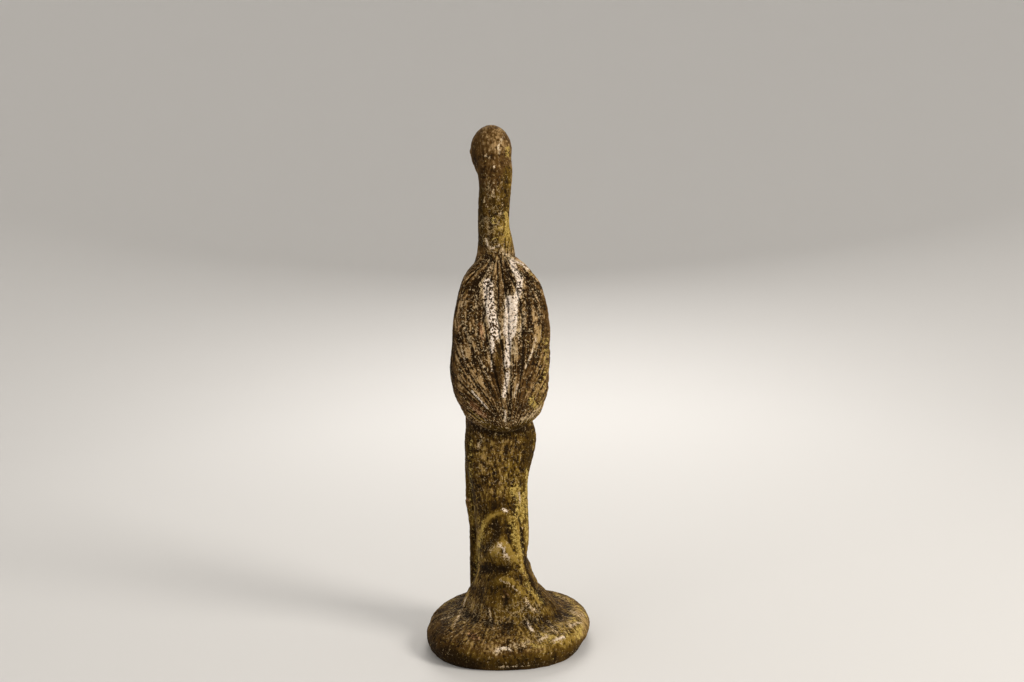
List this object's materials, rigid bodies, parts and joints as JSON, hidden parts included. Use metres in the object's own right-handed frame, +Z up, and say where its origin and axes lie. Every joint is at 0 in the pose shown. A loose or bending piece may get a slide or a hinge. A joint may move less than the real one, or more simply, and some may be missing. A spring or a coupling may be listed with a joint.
{
  "type": "cast stone heron garden statue",
  "caption": "Weathered cast stone heron standing against a short trunk on an oval base, long bill laid on its breast and wings folded, for a garden or a patio.",
  "frame": {"origin": "middle of the oval underside, at floor level", "axes": "+Z up, -Y the way the bird faces, +X to the bird's own left"},
  "size_m": [0.2499, 0.2795, 0.7597],
  "materials": {
    "weathered_stone": "rough, pitted, with dark biofilm and lichen"
  },
  "bodies": {
    "root": {"heron_statue": "weathered_stone"}
  },
  "joints": []
}
